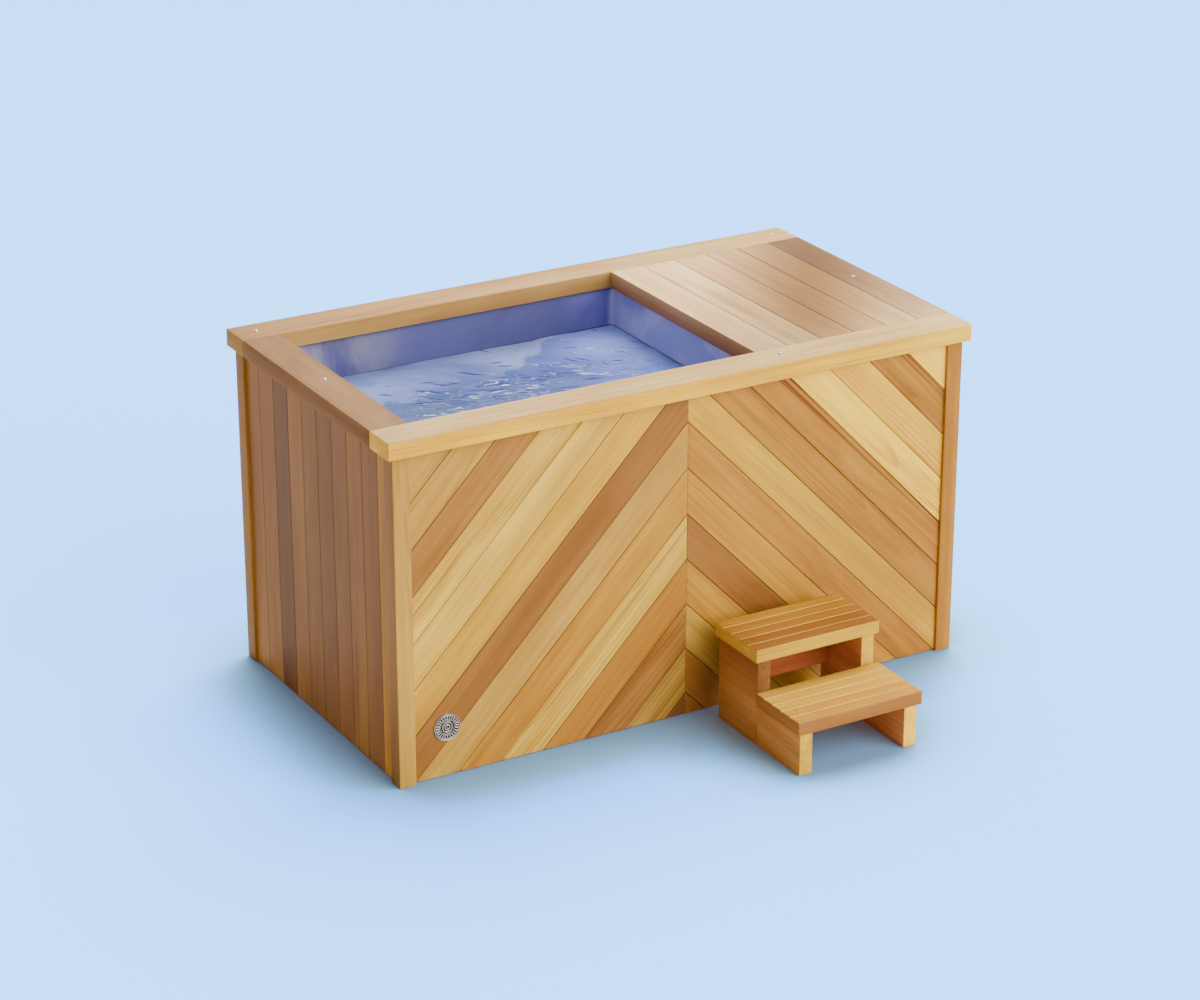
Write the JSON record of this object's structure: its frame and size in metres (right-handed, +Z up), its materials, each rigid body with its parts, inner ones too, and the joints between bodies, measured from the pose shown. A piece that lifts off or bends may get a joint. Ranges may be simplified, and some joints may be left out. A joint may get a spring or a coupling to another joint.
{
  "type": "cold plunge tub with step stool",
  "caption": "Wood-clad cold plunge tub with chevron front boards, moulded basin, decked equipment bay behind a louvred access door, and a loose step stool.",
  "frame": {"origin": "on the floor under the middle of the tub's own footprint, the stool not counted", "axes": "+X along the tub towards the deck end, +Y from the front to the back, +Z up"},
  "size_m": [1.64, 1.3143, 0.904],
  "materials": {
    "rim_wood": "satin",
    "board_wood": "satin",
    "shade_wood": "satin",
    "frame_wood": "matte",
    "plywood": "matte",
    "liner": "satin",
    "insulation": "matte",
    "pipe": "satin",
    "fitting": "satin",
    "dark_plastic": "satin",
    "filter_blue": "satin",
    "casing": "satin",
    "brass": "satin",
    "steel": "satin",
    "silver": "satin"
  },
  "bodies": {
    "tub": {"post_front_left": "board_wood", "post_front_right": "board_wood", "post_back_left": "shade_wood", "post_back_right": "shade_wood", "bearer_left": "frame_wood", "bearer_centre": "frame_wood", "bearer_right": "frame_wood", "base_panel": "plywood", "bulkhead_lower": "plywood", "bulkhead_upper": "plywood", "front_boards_left": "board_wood", "front_boards_right": "board_wood", "left_end_boards": "shade_wood", "back_boards": "shade_wood", "rim_front": "rim_wood", "rim_back": "rim_wood", "rim_left": "rim_wood", "deck_plank_1": "rim_wood", "deck_plank_2": "rim_wood", "deck_plank_3": "rim_wood", "deck_plank_4": "rim_wood", "deck_plank_5": "rim_wood", "deck_plank_6": "rim_wood", "deck_ledger_front": "frame_wood", "deck_ledger_back": "frame_wood", "basin": "liner", "insulation_front": "insulation", "insulation_back": "insulation", "insulation_left": "insulation", "suction_fitting": "fitting", "return_fitting": "fitting", "drain_fitting": "fitting", "suction_pipe": "pipe", "pump": "dark_plastic", "pump_pipe": "pipe", "filter_canister": "filter_blue", "filter_pipe": "pipe", "chiller_casing": "casing", "fan_guard": "steel", "return_pipe": "pipe", "drain_valve": "brass", "cable_gland": "dark_plastic", "hinge_fixed_leaf": "steel", "medallion": "silver", "stud_back_left": "silver", "stud_left": "silver", "stud_back_right": "silver", "stud_right": "silver", "stud_front": "silver"},
    "door": {"access_door": "board_wood", "hinge_door_leaf": "steel"},
    "latch": {"door_latch": "steel"},
    "fan": {"chiller_fan": "dark_plastic"},
    "drain_handle": {"drain_lever": "filter_blue"},
    "cap": {"filter_cap": "dark_plastic"},
    "stool": {"stool_side_left": "shade_wood", "stool_side_right": "board_wood", "stool_tread_lower": "board_wood", "stool_tread_upper": "board_wood", "stool_stretcher": "shade_wood"}
  },
  "joints": [
    {"name": "door_swing", "type": "hinge", "parent": "tub", "child": "door", "pos_m": [0.808, 0.3885, 0.45], "axis": [0, 0, 1], "range_deg": [0, 110]},
    {"name": "latch_turn", "type": "hinge", "parent": "door", "child": "latch", "pos_m": [0.789, -0.346, 0.45], "axis": [1, 0, 0], "range_deg": [0, 90]},
    {"name": "fan_spin", "type": "hinge", "parent": "tub", "child": "fan", "pos_m": [0.706, 0.204, 0.311], "axis": [1, 0, 0], "continuous": true},
    {"name": "drain_turn", "type": "hinge", "parent": "tub", "child": "drain_handle", "pos_m": [0.3526, -0.27, 0.22], "axis": [0, 0, 1], "range_deg": [0, 90]},
    {"name": "cap_turn", "type": "hinge", "parent": "tub", "child": "cap", "pos_m": [0.604, -0.308, 0.45], "axis": [0, 0, 1], "range_deg": [0, 60]},
    {"name": "stool_shift", "type": "slide", "parent": "tub", "child": "stool", "axis": [0, -1, 0], "range_m": [0, 0.3]}
  ]
}
